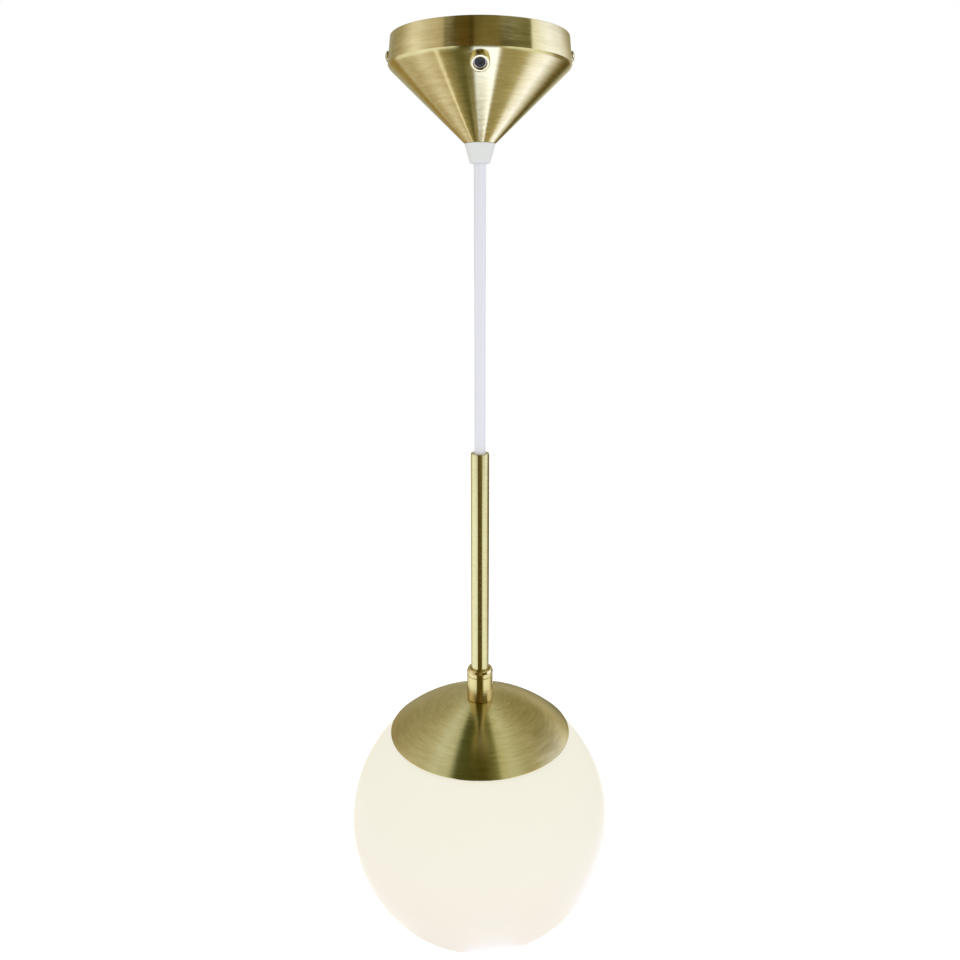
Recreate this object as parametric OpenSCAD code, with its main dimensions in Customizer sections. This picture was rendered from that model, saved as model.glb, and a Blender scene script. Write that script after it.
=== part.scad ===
// Pendant ceiling light: a cone canopy, a cord, a slim tube and an opal globe under a domed cap.
// Origin at the middle of the bracket's top face, on the ceiling. +Z is up and the light hangs along -Z.
// The canopy's lock boss faces -Y.

/* [Canopy] */
// Outer diameter at the ceiling edge
canopy_d = 101; // [98:1:122]
// How much wider the band gets on each side, from the ceiling edge to the fold
band_flare = 1.7; // [0:0.1:3]
// Height of the band
band_h = 14.5; // [13:0.5:20]
// Height of the cone, from the fold to the gland seat
cone_h = 41; // [32:1:50]
// Radius of the rolled corner between the fold and the cone
fold_round = 6; // [3:0.5:8]
// Wall of the spun shell
canopy_wall = 1; // [0.8:0.1:1.4]
// Shadow gap between the canopy and the ceiling
ceiling_gap = 0.5; // [0.3:0.1:1]

/* [Bracket] */
// Width of the strap
strap_w = 18; // [16:1:22]
// Thickness of the strap
strap_t = 1.5; // [1.2:0.1:2]
// Width of each bent ear
ear_w = 10; // [9:0.5:14]
// Distance between the middles of the two slots
slot_pitch = 60; // [56:1:64]
// Length of each slot
slot_l = 16; // [10:1:18]
// Width of each slot
slot_w = 4.8; // [4.2:0.1:5.5]
// Height of the side screws below the ceiling
side_screw_drop = 10; // [8:0.5:11]

/* [Cord and gland] */
// Diameter of the cord
cord_d = 7.2; // [5.5:0.1:7.9]
// Length of cord that shows between the gland and the tube
cord_show = 173.5; // [140:1:230]
// Diameter of the gland where it meets the canopy
gland_top_d = 18.4; // [16:0.2:22]
// Diameter of the gland at its lower end
gland_tip_d = 11; // [10.5:0.1:14]
// Height of the part of the gland that shows
gland_h = 11; // [8:0.5:15]
// Diameter of the gland's threaded stem
gland_stem_d = 10; // [9.8:0.1:10.6]

/* [Tube and collar] */
// Outer diameter of the tube
tube_d = 12; // [10.8:0.2:14.4]
// Wall of the bush between the cord and the tube
bush_wall = 1; // [0.9:0.05:1.2]
// Wall of the tube around the threaded nipple
tube_end_wall = 1; // [0.8:0.1:1.5]
// Length of tube that shows above the lock ring
tube_show = 150.5; // [120:0.5:180]
// Outer diameter of the collar and its lock ring
collar_d = 17.6; // [16.5:0.2:21]
// Height of the lock ring
lock_ring_h = 5; // [4:0.5:9]
// Height of the collar
collar_h = 18; // [12:1:22]

/* [Globe and cap] */
// Outer diameter of the glass globe
globe_d = 180; // [150:1:216]
// Wall of the glass
glass_wall = 3; // [2.4:0.1:3.6]
// Space between the globe and the outside of the domed cap
cap_stand_off = 2; // [1.8:0.1:3]
// Outer diameter of the cap's edge
cap_d = 124; // [106:1:150]
// Wall of the cap
cap_wall = 1.2; // [0.9:0.1:1.2]
// Outer diameter of the thread that carries the globe
thread_d = 80; // [64:1:96]
// How far the globe drops when it is unscrewed
globe_travel = 10; // [6:1:11]

/* [Lamp] */
// Diameter of the lamp's capsule
lamp_d = 17; // [14:0.5:20]
// Length of the capsule
lamp_l = 46; // [36:1:56]
// Distance between the lamp's pins
pin_pitch = 9; // [9:0.5:10]
// Diameter of a lamp pin
pin_d = 1.2; // [1:0.1:1.4]
// Length of a lamp pin
pin_l = 12; // [10:0.5:13]

/* [Clearances] */
// Radial room of a piece that turns or slides in another
run_gap = 0.05; // [0.02:0.01:0.08]
// Radial room of a thread drawn as a plain cylinder
thread_gap = 0.03; // [0.02:0.01:0.06]
// Radial room of a bolt in a plain hole
bolt_gap = 0.2; // [0.1:0.05:0.4]

/* [Hidden] */
$fn = 96;
eps = 0.01;

brass = [0.78, 0.69, 0.44];
steel = [0.70, 0.71, 0.72];
white = [0.90, 0.90, 0.88];

// Canopy outline: the fold is a crease, then an arc that runs into the straight cone.
rim_r = canopy_d / 2;
fold_r = rim_r + band_flare;
fold_z = -ceiling_gap - band_h;
seat_z = fold_z - cone_h;
seat_r = gland_top_d / 2;
crease = 22;
arc_c = [fold_r - fold_round * cos(crease), fold_z + fold_round * sin(crease)];
to_seat = [seat_r, seat_z] - arc_c;
cone_a = atan2(-to_seat[0], -to_seat[1]) + asin(fold_round / norm(to_seat));
arc_steps = 8;

// A point on the fold's arc, for a slope measured from straight down and a radius from its centre.
function arc_point(r, a) = arc_c + r * [cos(a), -sin(a)];
// The points of the arc from the crease to the cone.
function fold_arc(r) = [
    for (i = [0:arc_steps]) arc_point(r, crease + (cone_a - crease) * i / arc_steps)
];
cone_top = arc_point(fold_round, cone_a);
cone_top_in = arc_point(fold_round - canopy_wall, cone_a);
cone_dir = [-sin(cone_a), -cos(cone_a)];
seat_in_z = seat_z + canopy_wall;
seat_in_r = cone_top_in[0] - (cone_top_in[1] - seat_in_z) * tan(cone_a);
stem_hole_r = gland_stem_d / 2 + bolt_gap;

// Radius of the band's outside at a height.
function band_r(z) = rim_r + band_flare * (-ceiling_gap - z) / band_h;

// Cores of the cord
core_r = 1.1;
strand_r = 0.6;
core_gap = 0.2;

// Bracket
strap_room = 0.3;
ear_x = sqrt(pow(rim_r - canopy_wall, 2) - pow(ear_w / 2, 2)) - strap_room;
ear_drop = side_screw_drop + 3.8;
m4_r = 2;
m3_r = 1.5;
m2_r = 1.05;
tapped_m4_r = m4_r + thread_gap;
tapped_m3_r = m3_r + thread_gap;
screw_reach = 3;
side_head_r = 3;
side_head_h = 2;
earth_head_r = 3.5;
earth_x = -(ear_x - strap_t - earth_head_r - 0.95);
washer_t = 0.8;
lug_t = 0.8;
lug_barrel_r = core_r + 0.6;
lug_drop = lug_barrel_r + 0.4;
lug_mouth = 11.2;
lug_hole_y = 7;

// Terminal block
pole_pitch = 10;
pole_x = [-pole_pitch, 0, pole_pitch];
block_size = [3 * pole_pitch - 1, 16, 12];
pole_z = -strap_t - 6;
sleeve_l = 14;
sleeve_r = 2.9;
wire_bore_r = 1.6;
wire_bore_l = 6;
clamp_y = 3.8;
clamp_r = 1.3;
clamp_head_r = 1.7;
block_z = -strap_t - block_size[2];

// Lock boss
boss_r = 5.25;
boss_h = 3.2;
boss_floor = 0.4;
boss_bore_r = 3.6;
boss_from_fold = 7.7;
boss_stem_r = 3.9;
boss_stem_l = 5.5;
boss_nut_af = 11;
boss_nut_t = 2.6;
lock_thread_r = 2;
lock_head_sunk = 1.1;
lock_socket_l = 1.3;
fold_arc_l = fold_round * (cone_a - crease) * PI / 180;
boss_base = cone_top + (boss_from_fold - fold_arc_l) * cone_dir;

// Gland and cord
cord_r = cord_d / 2;
cord_bore_r = cord_r + run_gap;
gland_tip_z = seat_z - gland_h;
gland_stem_l = 9;
gland_nut_af = 13.5;
gland_nut_t = 4;
collet_h = 4;
collet_z = seat_z - 2 - collet_h;
collet_r = cord_r + 1;
tail_top_z = seat_z + 16;
neck_top_z = collet_z - 0.5;
pivot_z = gland_tip_z - 6;
joint_gap = cord_r + 0.4;

// Tube, collar and cap
tube_r = tube_d / 2;
tube_top_z = gland_tip_z - cord_show;
collar_r = collar_d / 2;
ring_top_z = tube_top_z - tube_show;
collar_top_z = ring_top_z - lock_ring_h;
cap_seat_z = collar_top_z - collar_h;
cap_seat_r = collar_r + 0.2;
cap_r = globe_d / 2 + cap_stand_off;
cap_in_r = cap_r - cap_wall;
globe_z = cap_seat_z - sqrt(pow(cap_r, 2) - pow(cap_seat_r, 2));
cap_edge_r = cap_d / 2;
tube_end_z = cap_seat_z;
tube_bore_r = cord_r + bush_wall;
nipple_r = tube_r - tube_end_wall;
nipple_bore_r = cord_r + 0.2;
nipple_up = 18;
tube_tap_r = nipple_r + thread_gap;
bush_h = 9;
bush_mouth_r = cord_r + 0.35;

// Height of a sphere around the globe's middle, at a distance from the axis.
function ball_z(r_ball, r) = globe_z + sqrt(pow(r_ball, 2) - pow(r, 2));

// Globe carrier: a cup under the cap, whose skirt is the thread that the globe screws on.
thread_r = thread_d / 2;
glass_r = globe_d / 2;
glass_in_r = glass_r - glass_wall;
ring_wall = 2.9;
ring_r = thread_r + ring_wall + run_gap;
glass_cut_r = ring_r + 0.2;
glass_cut_z = ball_z(glass_in_r, glass_cut_r);
flange_r = ring_r + 4.5;
flange_t = 0.8;
ring_top = glass_cut_z + flange_t;
seal_t = 1;
seal_r = thread_r + 4;
ring_l = globe_travel + 3.2;
carrier_t = 1.2;
carrier_stop_z = ring_top + seal_t + run_gap;
carrier_stop_t = 1;
carrier_end_z = ring_top - globe_travel - 0.3;
carrier_top_z = cap_seat_z - cap_wall;
plate_t = 1.4;

// Lampholder stack
carrier_low_z = carrier_top_z - plate_t;
holder_t = 1;
stirrup_w = 2 * (nipple_r + 3);
stirrup_x = 16;
nut_t = 4;
nut_af = 2 * (nipple_r + 2);
nut_z = carrier_low_z - washer_t;
stirrup_top_z = nut_z - nut_t;
grip_top_z = stirrup_top_z - holder_t;
grip_r = nipple_r + 2.5;
grip_l = 16;
grip_thread_l = 8.5;
nipple_end_z = grip_top_z - grip_thread_l + 0.5;
grip_screw_z = grip_top_z - grip_l + 4;
cord_end_z = grip_top_z - grip_l - 4;
stirrup_z = cord_end_z - 13;
lead_x = pin_pitch / 2;
lamp_screw_x = lead_x + 3.1;
lampholder_size = [2 * (lamp_screw_x + 2.4), 13, 20];
lampholder_z = stirrup_z - lampholder_size[2];
pin_hole_r = 1.3;
contact_r = 1.2;
lead_in = 4;
stirrup_slot = [2 * (lead_x + core_r + 0.5), 6];
earth_tag_z = cord_end_z - 6;

// Lamp
lamp_r = lamp_d / 2;
lamp_base_h = 8;
lamp_wall = 1;
lamp_top_z = lampholder_z - 0.3;
capsule_z = lamp_top_z - lamp_base_h;

// Routes of the cores, as points that each core passes.
earth_lug_z = -strap_t - lug_drop;
live_route = [
    [-1.3, -0.8, tail_top_z + core_gap], [-1.6, -1.4, tail_top_z + 4], [-3, -5, tail_top_z + 9],
    [-6, -12, tail_top_z + 16],
    [-9, -17, -14], [-pole_pitch, -16, pole_z - 1.1], [-pole_pitch, -12, pole_z],
    [-pole_pitch, -8.4, pole_z]
];
earth_route = [
    [0, 1.5, tail_top_z + core_gap], [-0.6, 2.4, tail_top_z + 4], [-5, 7, tail_top_z + 8],
    [-16, 15, tail_top_z + 14], [-30, 19, -15],
    [earth_x + 2, 18, -7.5], [earth_x, 14.5, earth_lug_z - 0.4], [earth_x, lug_mouth, earth_lug_z],
    [earth_x, lug_hole_y + 0.4, earth_lug_z]
];
lamp_live_route = [
    [-1.3, -0.8, cord_end_z - core_gap], [-1.5, -0.9, cord_end_z - 2], [-3.4, -0.4, cord_end_z - 7],
    [-lead_x, 0, cord_end_z - 10], [-lead_x, 0, stirrup_z - lead_in]
];
lamp_lug_x = stirrup_x - holder_t - lug_drop;
lamp_earth_route = [
    [0, 1.5, cord_end_z - core_gap], [0.2, 1.7, cord_end_z - 2], [3, 3.4, cord_end_z - 5.2],
    [7, 8.5, cord_end_z - 5.6], [10.6, 13.4, earth_tag_z], [lamp_lug_x, 14, earth_tag_z],
    [lamp_lug_x, lug_mouth, earth_tag_z], [lamp_lug_x, lug_hole_y + 0.4, earth_tag_z]
];

// One point of a smooth curve that passes its four points, between the middle two.
function curve_point(a, b, c, d, t) =
    0.5 * (2 * b + (c - a) * t + (2 * a - 5 * b + 4 * c - d) * t * t
    + (3 * b - a - 3 * c + d) * t * t * t);
function clamp_i(p, i) = p[max(0, min(len(p) - 1, i))];
// The whole curve, with a number of steps between each two points.
function curve(p, steps) = concat(
    [
        for (i = [0:len(p) - 2], j = [0:steps - 1])
            curve_point(clamp_i(p, i - 1), p[i], p[i + 1], clamp_i(p, i + 2), j / steps)
    ],
    [p[len(p) - 1]]
);
function unit(v) = v / norm(v);
// The direction of a line of points at one of them.
function heading(line, i) = unit(clamp_i(line, i + 1) - clamp_i(line, i - 1));
// A direction square to the heading, carried on from the last ring so that the rings don't twist.
function side_of(line, i) = i == 0
    ? unit(cross(heading(line, 0), [0.3, 1, 0.2]))
    : let (s = side_of(line, i - 1), h = heading(line, i)) unit(s - (s * h) * h);

// A wire of one radius along a smooth curve through the points.
module wire(route, r, steps = 3, sides = 8) {
    line = curve(route, steps);
    rings = len(line);
    points = [
        for (i = [0:rings - 1])
            let (s = side_of(line, i), u = cross(heading(line, i), s))
            for (k = [0:sides - 1]) line[i] + r * (cos(360 * k / sides) * s + sin(360 * k / sides) * u)
    ];
    walls = [
        for (i = [0:rings - 2], k = [0:sides - 1])
            let (a = i * sides + k, b = i * sides + (k + 1) % sides) [a, a + sides, b + sides, b]
    ];
    ends = [
        [for (k = [0:sides - 1]) k],
        [for (k = [sides - 1:-1:0]) (rings - 1) * sides + k]
    ];
    polyhedron(points = points, faces = concat(walls, ends), convexity = 10);
}

// A round bar along Z, from one height down to another.
module bar(r, z_top, z_low) {
    translate([0, 0, z_low]) cylinder(r = r, h = z_top - z_low);
}

// A ring along Z, from one height down to another.
module ring(r, bore, z_top, z_low) {
    difference() {
        bar(r, z_top, z_low);
        bar(bore, z_top + 1, z_low - 1);
    }
}

// A six-sided nut with a plain bore, from one height down to another.
module hex_nut(af, bore, z_top, z_low) {
    difference() {
        translate([0, 0, z_low]) cylinder(r = af / sqrt(3), h = z_top - z_low, $fn = 6);
        bar(bore, z_top + 1, z_low - 1);
    }
}

// A slotted pan-head screw: the head's seat at z = 0 with the head above it, and the shank below.
module pan_screw(head_r, head_h, shank_r, shank_l) {
    edge = head_h * 0.35;
    bulge = head_h - edge;
    round_r = (pow(head_r, 2) + pow(bulge, 2)) / (2 * bulge);
    difference() {
        intersection() {
            bar(head_r, head_h, 0);
            translate([0, 0, head_h - round_r]) sphere(r = round_r);
        }
        translate([-head_r, -head_r * 0.13, head_h * 0.5]) cube([2 * head_r, head_r * 0.26, head_h]);
    }
    bar(shank_r, eps, -shank_l);
}

// A ring lug: eye at the origin on the plane z = 0, with its barrel along +Y below that plane.
module ring_lug(eye_r) {
    barrel_l = 5;
    difference() {
        union() {
            bar(eye_r + 1.7, 0, -lug_t);
            translate([-1.4, 0, -lug_t]) cube([2.8, lug_mouth - barrel_l + 1.4, lug_t]);
            translate([0, lug_mouth - barrel_l, -lug_drop]) rotate([-90, 0, 0])
                cylinder(r = lug_barrel_r, h = barrel_l);
        }
        bar(eye_r, 1, -lug_t - 1);
        translate([0, lug_hole_y, -lug_drop]) rotate([-90, 0, 0])
            cylinder(r = core_r + run_gap, h = barrel_l);
    }
}

// The solid inside the canopy's outer face.
module canopy_outside() {
    rotate_extrude() polygon(concat(
        [[0, -ceiling_gap], [rim_r, -ceiling_gap], [fold_r, fold_z]],
        fold_arc(fold_round),
        [[seat_r, seat_z], [0, seat_z]]
    ));
}

// Puts its children on the cone where the boss sits, with +Z square to the cone and outwards.
module at_boss() {
    translate([0, -boss_base[0], boss_base[1]]) rotate([90 + cone_a, 0, 0]) children();
}

module ceiling_bracket() {
    color(steel) difference() {
        union() {
            intersection() {
                translate([-ear_x, -strap_w / 2, -strap_t]) cube([2 * ear_x, strap_w, strap_t]);
                bar(rim_r - canopy_wall - strap_room, 1, -strap_t - 1);
            }
            for (side = [0, 1]) mirror([side, 0, 0])
                translate([ear_x - strap_t, -ear_w / 2, -ear_drop]) cube([strap_t, ear_w, ear_drop]);
        }
        for (x = [-slot_pitch / 2, slot_pitch / 2], end = [-1, 1])
            translate([x + end * (slot_l - slot_w) / 2, 0, 0]) bar(slot_w / 2, 1, -strap_t - 1);
        for (x = [-slot_pitch / 2, slot_pitch / 2])
            translate([x - (slot_l - slot_w) / 2, -slot_w / 2, -strap_t - 1])
                cube([slot_l - slot_w, slot_w, strap_t + 2]);
        translate([-ear_x - 1, 0, -side_screw_drop]) rotate([0, 90, 0])
            cylinder(r = tapped_m4_r, h = 2 * ear_x + 2);
        translate([earth_x, 0, 0]) bar(tapped_m4_r, 1, -strap_t - 1);
        for (x = [-pole_pitch / 2, pole_pitch / 2])
            translate([x, 0, 0]) bar(tapped_m3_r, 1, -strap_t - 1);
    }
}

module side_screws() {
    band_x = band_r(-side_screw_drop);
    color(steel) difference() {
        for (side = [-1, 1])
            translate([side * band_x, 0, -side_screw_drop]) rotate([0, side * 90, 0])
                pan_screw(side_head_r, side_head_h, m4_r, band_x - ear_x + strap_t + screw_reach);
        difference() {
            canopy_outside();
            translate([-2 * rim_r, 0, -side_screw_drop]) rotate([0, 90, 0])
                cylinder(r = m4_r + eps, h = 4 * rim_r);
        }
    }
}

module earth_screw() {
    seat = strap_t + lug_t + washer_t;
    color(steel) translate([earth_x, 0, -seat]) rotate([180, 0, 0])
        pan_screw(earth_head_r, 2.4, m4_r, seat - 0.1);
}

module earth_washer() {
    top = -strap_t - lug_t;
    color(steel) translate([earth_x, 0, 0]) ring(4, m4_r + bolt_gap, top, top - washer_t);
}

module earth_lug() {
    color(steel) translate([earth_x, 0, -strap_t]) ring_lug(m4_r + bolt_gap);
}

module terminal_block() {
    color(white) difference() {
        translate([-block_size[0] / 2, -block_size[1] / 2, block_z]) cube(block_size);
        for (x = pole_x) {
            translate([x, -block_size[1], pole_z]) rotate([-90, 0, 0])
                cylinder(r = sleeve_r + run_gap, h = 2 * block_size[1]);
            for (y = [-clamp_y, clamp_y])
                translate([x, y, 0]) bar(clamp_head_r + 0.1, pole_z, block_z - 1);
        }
        for (x = [-pole_pitch / 2, pole_pitch / 2]) translate([x, 0, 0]) {
            bar(m3_r + 0.1, 1, block_z - 1);
            bar(2.7, block_z + 3, block_z - 1);
        }
        for (x = [-pole_pitch / 2, pole_pitch / 2], y = [-block_size[1] / 2, block_size[1] / 2])
            translate([x - 0.8, y - 1.5, block_z - 1]) cube([1.6, 3, block_size[2] + 2]);
    }
}

module terminal_sleeves() {
    color(brass) for (x = pole_x) difference() {
        translate([x, -sleeve_l / 2, pole_z]) rotate([-90, 0, 0]) cylinder(r = sleeve_r, h = sleeve_l);
        for (side = [-1, 1]) {
            translate([x, side * sleeve_l / 2, pole_z]) rotate([side * 90, 0, 0])
                cylinder(r = wire_bore_r, h = wire_bore_l);
            translate([x, side * clamp_y, 0]) bar(clamp_r + thread_gap, pole_z, pole_z - 5);
        }
    }
}

// The clamp screws on the pendant's side are tight on its cores; those on the supply side are open.
module terminal_screws() {
    color(steel) for (x = pole_x, side = [-1, 1]) {
        tight = side < 0 && x != 0;
        tip_z = pole_z - (tight ? strand_r + 0.02 : wire_bore_r + 0.05);
        translate([x, side * clamp_y, 0]) difference() {
            bar(clamp_r, tip_z, tip_z - 3.6);
            translate([-clamp_r, -0.25, tip_z - 4]) cube([2 * clamp_r, 0.5, 1.2]);
        }
    }
}

module block_screws() {
    color(steel) for (x = [-pole_pitch / 2, pole_pitch / 2])
        translate([x, 0, block_z + 3]) rotate([180, 0, 0]) pan_screw(2.6, 1.8, m3_r, -block_z - 3.1);
}

// A core from the cord's end to one pole, with its bare strands inside the sleeve.
module pole_core(side) {
    mirror([side, 0, 0]) {
        wire(live_route, core_r);
        translate([-pole_pitch, -8.6, pole_z]) rotate([-90, 0, 0]) cylinder(r = strand_r, h = 6.8);
    }
}

module live_core() {
    color("sienna") pole_core(0);
}

module neutral_core() {
    color("royalblue") pole_core(1);
}

module earth_core() {
    color("yellowgreen") wire(earth_route, core_r);
}

module cord_tail() {
    color(white) bar(cord_r, tail_top_z, neck_top_z + 0.3);
}

module canopy() {
    color(brass) difference() {
        rotate_extrude() polygon(concat(
            [[rim_r - canopy_wall, -ceiling_gap], [rim_r, -ceiling_gap]],
            [[fold_r, fold_z]],
            fold_arc(fold_round),
            [
                [seat_r, seat_z], [stem_hole_r, seat_z],
                [stem_hole_r, seat_in_z], [seat_in_r, seat_in_z]
            ],
            [for (i = [arc_steps:-1:0]) fold_arc(fold_round - canopy_wall)[i]]
        ));
        translate([-2 * rim_r, 0, -side_screw_drop]) rotate([0, 90, 0])
            cylinder(r = m4_r + bolt_gap, h = 4 * rim_r);
        at_boss() bar(boss_stem_r + bolt_gap, 3, -4);
    }
}

module lock_boss() {
    color(brass) difference() {
        union() {
            difference() {
                at_boss() rotate_extrude() polygon([
                    [0, -2], [boss_r, -2], [boss_r, boss_h - 0.7], [boss_r - 0.2, boss_h - 0.3],
                    [boss_r - 0.7, boss_h], [0, boss_h]
                ]);
                canopy_outside();
            }
            at_boss() bar(boss_stem_r, 2, -boss_stem_l);
        }
        at_boss() {
            bar(boss_bore_r, boss_h + 1, boss_floor);
            bar(lock_thread_r + thread_gap, 2, -boss_stem_l - 1);
        }
    }
}

module lock_boss_nut() {
    clear = 1 + canopy_wall;
    color(steel) at_boss()
        hex_nut(boss_nut_af, boss_stem_r + thread_gap, -clear, -clear - boss_nut_t);
}

module lock_screw() {
    head_top = boss_h - lock_head_sunk;
    color(steel) at_boss() difference() {
        union() {
            bar(boss_bore_r - run_gap, head_top, boss_floor + 0.1);
            bar(lock_thread_r, 2, -boss_stem_l + 0.6);
        }
        translate([0, 0, head_top - 0.9]) cylinder(r1 = 2.7, r2 = 2.9, h = 1);
        translate([0, 0, head_top - lock_socket_l]) cylinder(r = 1.45, h = 3, $fn = 6);
    }
}

module gland() {
    tip = gland_tip_d / 2;
    color(white) difference() {
        union() {
            rotate_extrude() polygon([
                [0, seat_z], [seat_r - 0.5, seat_z], [seat_r, seat_z - 0.6],
                [tip + 0.9, gland_tip_z + 2], [tip + 0.5, gland_tip_z + 0.8],
                [tip, gland_tip_z + 0.25], [tip - 0.6, gland_tip_z], [0, gland_tip_z]
            ]);
            bar(gland_stem_d / 2, seat_z + gland_stem_l, seat_z - 1);
        }
        bar(cord_bore_r, seat_z + gland_stem_l + 1, gland_tip_z - 1);
        bar(collet_r + run_gap, seat_z - 2, collet_z);
    }
}

module gland_collet() {
    color("lightgray") difference() {
        ring(collet_r, cord_r + 0.02, seat_z - 2.05, collet_z + 0.05);
        translate([0, -0.3, collet_z - 1]) cube([2 * collet_r, 0.6, collet_h + 2]);
    }
}

module gland_locknut() {
    color("silver")
        hex_nut(gland_nut_af, gland_stem_d / 2 + thread_gap, seat_in_z + gland_nut_t, seat_in_z);
}

// The short stretch of cord that twists in the gland. Its round end is the middle of the bend.
module cord_neck() {
    color(white) {
        bar(cord_r, neck_top_z, pivot_z);
        translate([0, 0, pivot_z]) sphere(r = cord_r);
    }
}

module pendant_cord() {
    color(white) bar(cord_r, pivot_z - joint_gap, cord_end_z);
}

module tube() {
    lip = 0.3;
    color(brass) rotate_extrude() polygon([
        [tube_bore_r + lip, tube_top_z], [tube_r - lip, tube_top_z], [tube_r, tube_top_z - lip],
        [tube_r, tube_end_z], [tube_tap_r, tube_end_z],
        [tube_tap_r, cap_seat_z + nipple_up + 1], [tube_bore_r, cap_seat_z + nipple_up + 1.8],
        [tube_bore_r, tube_top_z - lip]
    ]);
}

module tube_bush() {
    top = tube_top_z - 0.8;
    outer = tube_bore_r - 0.02;
    color(white) rotate_extrude() polygon([
        [cord_bore_r, top - bush_h], [outer, top - bush_h], [outer, top - 0.3], [outer - 0.2, top],
        [bush_mouth_r, top], [cord_bore_r, top - 1.5]
    ]);
}

module lock_ring() {
    round_r = min(2.1, collar_r - tube_r - 0.6);
    steps = 6;
    color(brass) rotate_extrude() polygon(concat(
        [[tube_r + run_gap, collar_top_z], [collar_r - 0.25, collar_top_z]],
        [[collar_r, collar_top_z + 0.25]],
        [
            for (i = [0:steps])
                [
                    collar_r - round_r + round_r * cos(90 * i / steps),
                    ring_top_z - round_r + round_r * sin(90 * i / steps)
                ]
        ],
        [[tube_r + run_gap, ring_top_z - 0.5]]
    ));
}

module collar() {
    color(brass) rotate_extrude() polygon([
        [tube_r + run_gap, cap_seat_z], [collar_r - 0.3, cap_seat_z], [collar_r, cap_seat_z + 0.3],
        [collar_r, collar_top_z - 0.25], [collar_r - 0.25, collar_top_z], [tube_r + run_gap, collar_top_z]
    ]);
}

module nipple() {
    color(steel) ring(nipple_r, nipple_bore_r, cap_seat_z + nipple_up, nipple_end_z);
}

module cap_dome() {
    hole = nipple_r + bolt_gap;
    edge_a = asin(cap_edge_r / cap_r);
    top_a = asin(cap_seat_r / cap_r);
    steps = 24;
    color(brass) rotate_extrude() polygon(concat(
        [[hole, cap_seat_z]],
        [
            for (i = [0:steps])
                let (a = top_a + (edge_a - top_a) * i / steps) [cap_r * sin(a), globe_z + cap_r * cos(a)]
        ],
        [
            for (i = [steps:-1:0])
                let (a = top_a + (edge_a - top_a) * i / steps)
                [cap_in_r * sin(a), globe_z + cap_in_r * cos(a)]
        ],
        [[hole, cap_seat_z - cap_wall]]
    ));
}

// A thin fibre washer that keeps the steel cup off the brass.
module cap_washer() {
    flat_r = cap_in_r * cap_seat_r / cap_r - 0.4;
    color("dimgray") ring(flat_r, nipple_r + bolt_gap, carrier_top_z, carrier_top_z - 0.4);
}

module globe_carrier() {
    top = carrier_top_z - 0.4;
    shoulder_r = thread_r - 1.5;
    low = carrier_stop_z + carrier_stop_t;
    color(steel) rotate_extrude() polygon([
        [nipple_r + bolt_gap, top], [cap_seat_r - 0.6, top], [shoulder_r, low + 1.2],
        [thread_r, low], [thread_r + 3.2, low], [thread_r + 3.2, carrier_stop_z],
        [thread_r, carrier_stop_z], [thread_r, carrier_end_z + 0.6],
        [thread_r - 0.4, carrier_end_z], [thread_r - carrier_t, carrier_end_z],
        [thread_r - carrier_t, low - 0.7], [shoulder_r - 0.8, low], [cap_seat_r - 1, carrier_low_z],
        [nipple_r + bolt_gap, carrier_low_z]
    ]);
}

module holder_bracket() {
    color(steel) difference() {
        union() {
            translate([-stirrup_x, -stirrup_w / 2, grip_top_z])
                cube([2 * stirrup_x, stirrup_w, holder_t]);
            for (side = [0, 1]) mirror([side, 0, 0])
                translate([stirrup_x - holder_t, -stirrup_w / 2, stirrup_z])
                    cube([holder_t, stirrup_w, stirrup_top_z - stirrup_z]);
            translate([-stirrup_x, -stirrup_w / 2, stirrup_z])
                cube([2 * stirrup_x, stirrup_w, holder_t]);
        }
        bar(nipple_r + bolt_gap, stirrup_top_z + 1, grip_top_z - 1);
        translate([-stirrup_slot[0] / 2, -stirrup_slot[1] / 2, stirrup_z - 1])
            cube([stirrup_slot[0], stirrup_slot[1], holder_t + 2]);
        for (x = [-lamp_screw_x, lamp_screw_x])
            translate([x, 0, 0]) bar(m2_r + 0.1, stirrup_z + 2, stirrup_z - 1);
        translate([stirrup_x - 2, 0, earth_tag_z]) rotate([0, 90, 0]) cylinder(r = tapped_m3_r, h = 4);
    }
}

module nipple_washer() {
    color(steel) ring(8, nipple_r + bolt_gap, carrier_low_z, nut_z);
}

module nipple_nut() {
    color(steel) hex_nut(nut_af, nipple_r + thread_gap, nut_z, stirrup_top_z);
}

module cord_grip() {
    low = grip_top_z - grip_l;
    color(white) difference() {
        rotate_extrude() polygon([
            [0, grip_top_z], [grip_r - 0.5, grip_top_z], [grip_r, grip_top_z - 0.5],
            [grip_r, low + 1], [grip_r - 1, low], [0, low]
        ]);
        bar(nipple_r + thread_gap, grip_top_z + 1, grip_top_z - grip_thread_l);
        bar(cord_bore_r, grip_top_z, low - 1);
        translate([0, 0, grip_screw_z]) rotate([0, 90, 0]) cylinder(r = tapped_m4_r, h = grip_r + 1);
    }
}

module cord_grip_screw() {
    color(white) difference() {
        translate([cord_r + 0.02, 0, grip_screw_z]) rotate([0, 90, 0])
            cylinder(r = m4_r, h = grip_r - cord_r + 0.6);
        translate([grip_r - 0.6, -m4_r, grip_screw_z - 0.3]) cube([2, 2 * m4_r, 0.6]);
    }
}

module lamp_live_lead() {
    color("sienna") wire(lamp_live_route, core_r);
}

module lamp_neutral_lead() {
    color("royalblue") mirror([1, 0, 0]) wire(lamp_live_route, core_r);
}

module lamp_earth_lead() {
    color("yellowgreen") wire(lamp_earth_route, core_r);
}

// Puts its children on the inner face of the stirrup's leg, with +Z out of that face towards the axis.
module at_earth_tag() {
    translate([stirrup_x - holder_t, 0, earth_tag_z]) rotate([0, -90, 0]) children();
}

module lamp_earth_lug() {
    color(steel) at_earth_tag() mirror([0, 0, 1]) ring_lug(m3_r + bolt_gap);
}

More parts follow.
